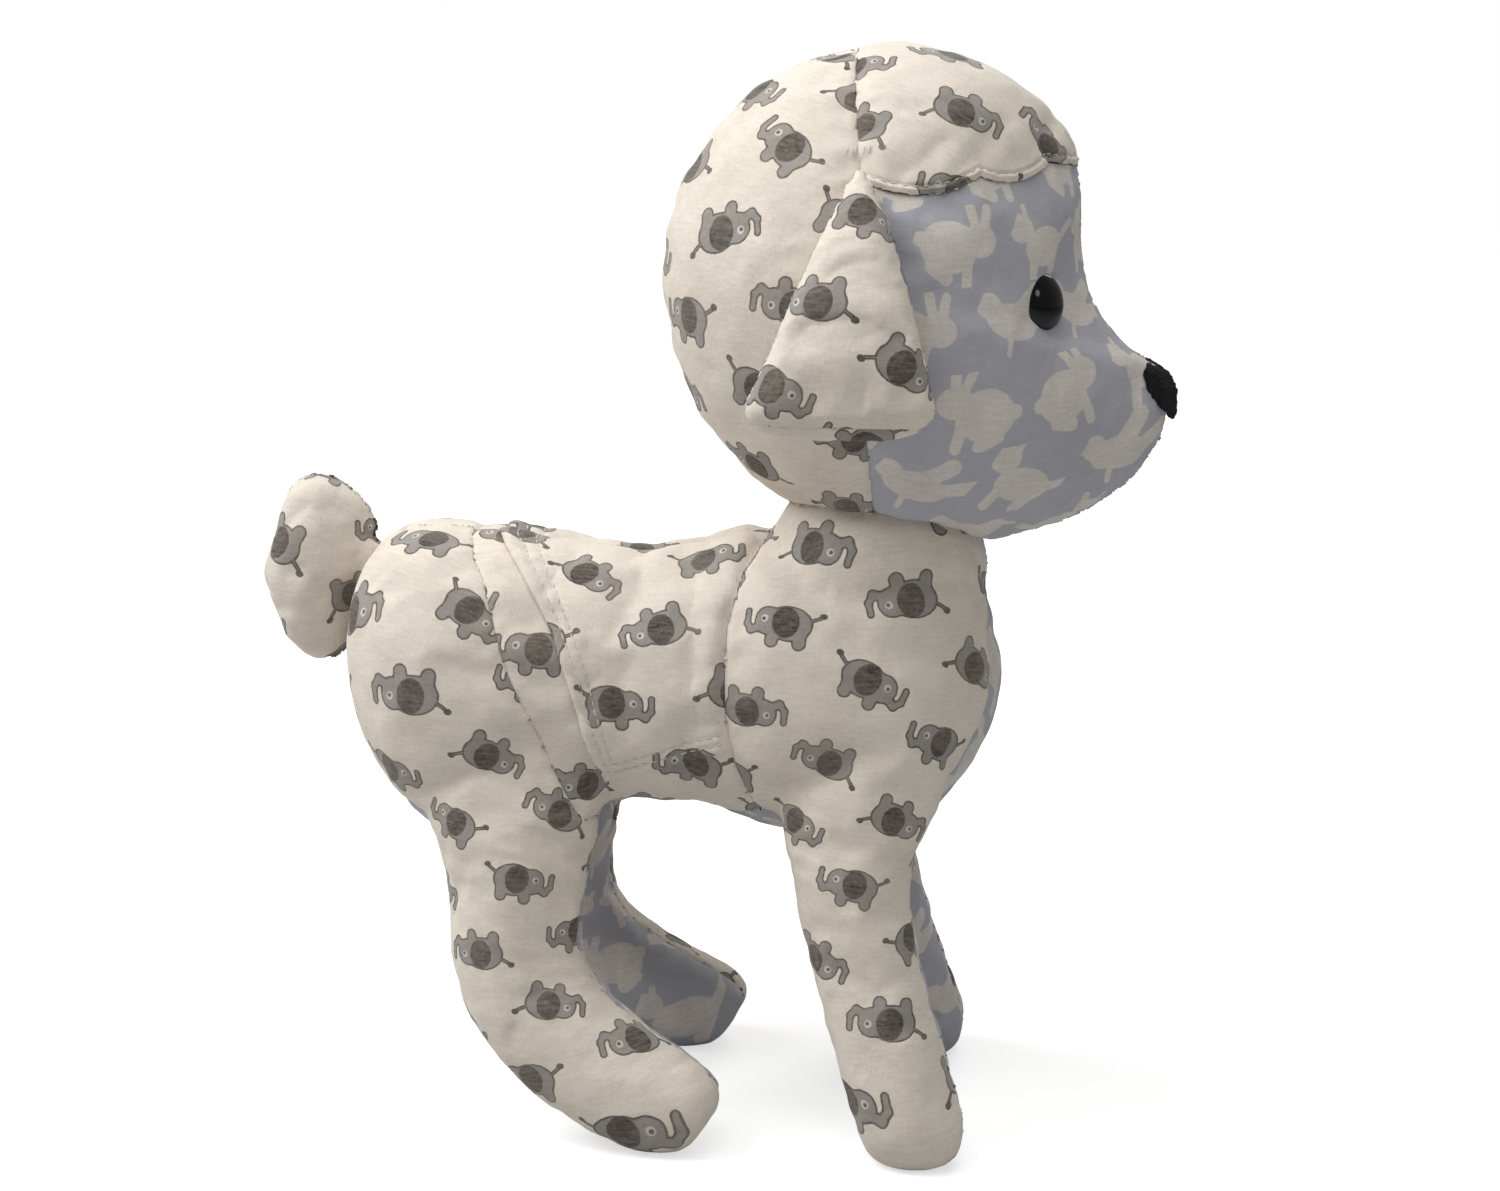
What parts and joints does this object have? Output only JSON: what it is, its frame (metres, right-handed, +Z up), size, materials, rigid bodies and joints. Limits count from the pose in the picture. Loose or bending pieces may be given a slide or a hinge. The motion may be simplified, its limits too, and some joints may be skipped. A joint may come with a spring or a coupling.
{
  "type": "plush dog",
  "caption": "Standing soft toy dog sewn from printed jersey, with a ball-shaped head that nods and turns, hanging padded ears and a stubby tail.",
  "frame": {"origin": "middle of the box on the floor, under the belly", "axes": "+X the way the dog faces, +Y its left side, +Z up"},
  "size_m": [0.276, 0.147, 0.323],
  "materials": {
    "cream_print": "brushed cotton jersey, warm white with small grey animals",
    "lavender_print": "cotton jersey, blue grey with pale animal shapes",
    "fibrefill": "polyester fibrefill",
    "thread": "polyester sewing thread",
    "nose_felt": "black fuzzy felt",
    "eye_plastic": "polished black plastic",
    "washer_plastic": "natural plastic lock washer"
  },
  "bodies": {
    "trunk": {"trunk_stuffing": "fibrefill", "front_leg_stuffing_right": "fibrefill", "front_leg_stuffing_left": "fibrefill", "hind_leg_stuffing_right": "fibrefill", "hind_leg_stuffing_left": "fibrefill", "shoulder_panel_right": "cream_print", "shoulder_panel_left": "cream_print", "side_panel_right": "cream_print", "side_panel_left": "cream_print", "flank_flap_right": "cream_print", "flank_flap_left": "cream_print", "hem_stitching_right": "thread", "hem_stitching_left": "thread", "hip_panel_right": "cream_print", "hip_panel_left": "cream_print", "belly_gusset": "lavender_print", "front_leg_lining_right": "lavender_print", "front_leg_lining_left": "lavender_print", "hind_leg_lining_right": "lavender_print", "hind_leg_lining_left": "lavender_print", "tail_stitches": "thread"},
    "neck": {"neck_stuffing": "fibrefill"},
    "head": {"neck_stitches": "thread", "head_stuffing": "fibrefill", "head_back_right": "cream_print", "head_back_left": "cream_print", "cap_panel": "cream_print", "cap_stitching": "thread", "face_panel_right": "lavender_print", "face_panel_left": "lavender_print", "nose": "nose_felt", "eye_right": "eye_plastic", "eye_left": "eye_plastic", "eye_washer_right": "washer_plastic", "eye_washer_left": "washer_plastic", "ear_stitches_right": "thread", "ear_stitches_left": "thread"},
    "ear_right": {"ear_stuffing_right": "fibrefill", "ear_outer_right": "cream_print", "ear_inner_right": "cream_print"},
    "ear_left": {"ear_stuffing_left": "fibrefill", "ear_outer_left": "cream_print", "ear_inner_left": "cream_print"},
    "tail": {"tail_stuffing": "fibrefill", "tail_panel_right": "cream_print", "tail_panel_left": "cream_print"}
  },
  "joints": [
    {"name": "head_turn", "type": "hinge", "parent": "trunk", "child": "neck", "pos_m": [0.053, 0, 0.168], "axis": [0, 0, 1], "range_deg": [-20, 20], "stiffness_Nm_per_rad": 0.6},
    {"name": "head_nod", "type": "hinge", "parent": "neck", "child": "head", "pos_m": [0.053, 0, 0.168], "axis": [0, 1, 0], "range_deg": [-8, 15], "stiffness_Nm_per_rad": 1.5},
    {"name": "ear_right_lift", "type": "hinge", "parent": "head", "child": "ear_right", "pos_m": [0.0478, -0.047, 0.289], "axis": [-1, 0, 0], "range_deg": [0, 110]},
    {"name": "ear_left_lift", "type": "hinge", "parent": "head", "child": "ear_left", "pos_m": [0.0478, 0.047, 0.289], "axis": [1, 0, 0], "range_deg": [0, 110]},
    {"name": "tail_wag", "type": "hinge", "parent": "trunk", "child": "tail", "pos_m": [-0.1025, 0, 0.16], "axis": [0, 0, 1], "range_deg": [-20, 20], "stiffness_Nm_per_rad": 0.05}
  ]
}
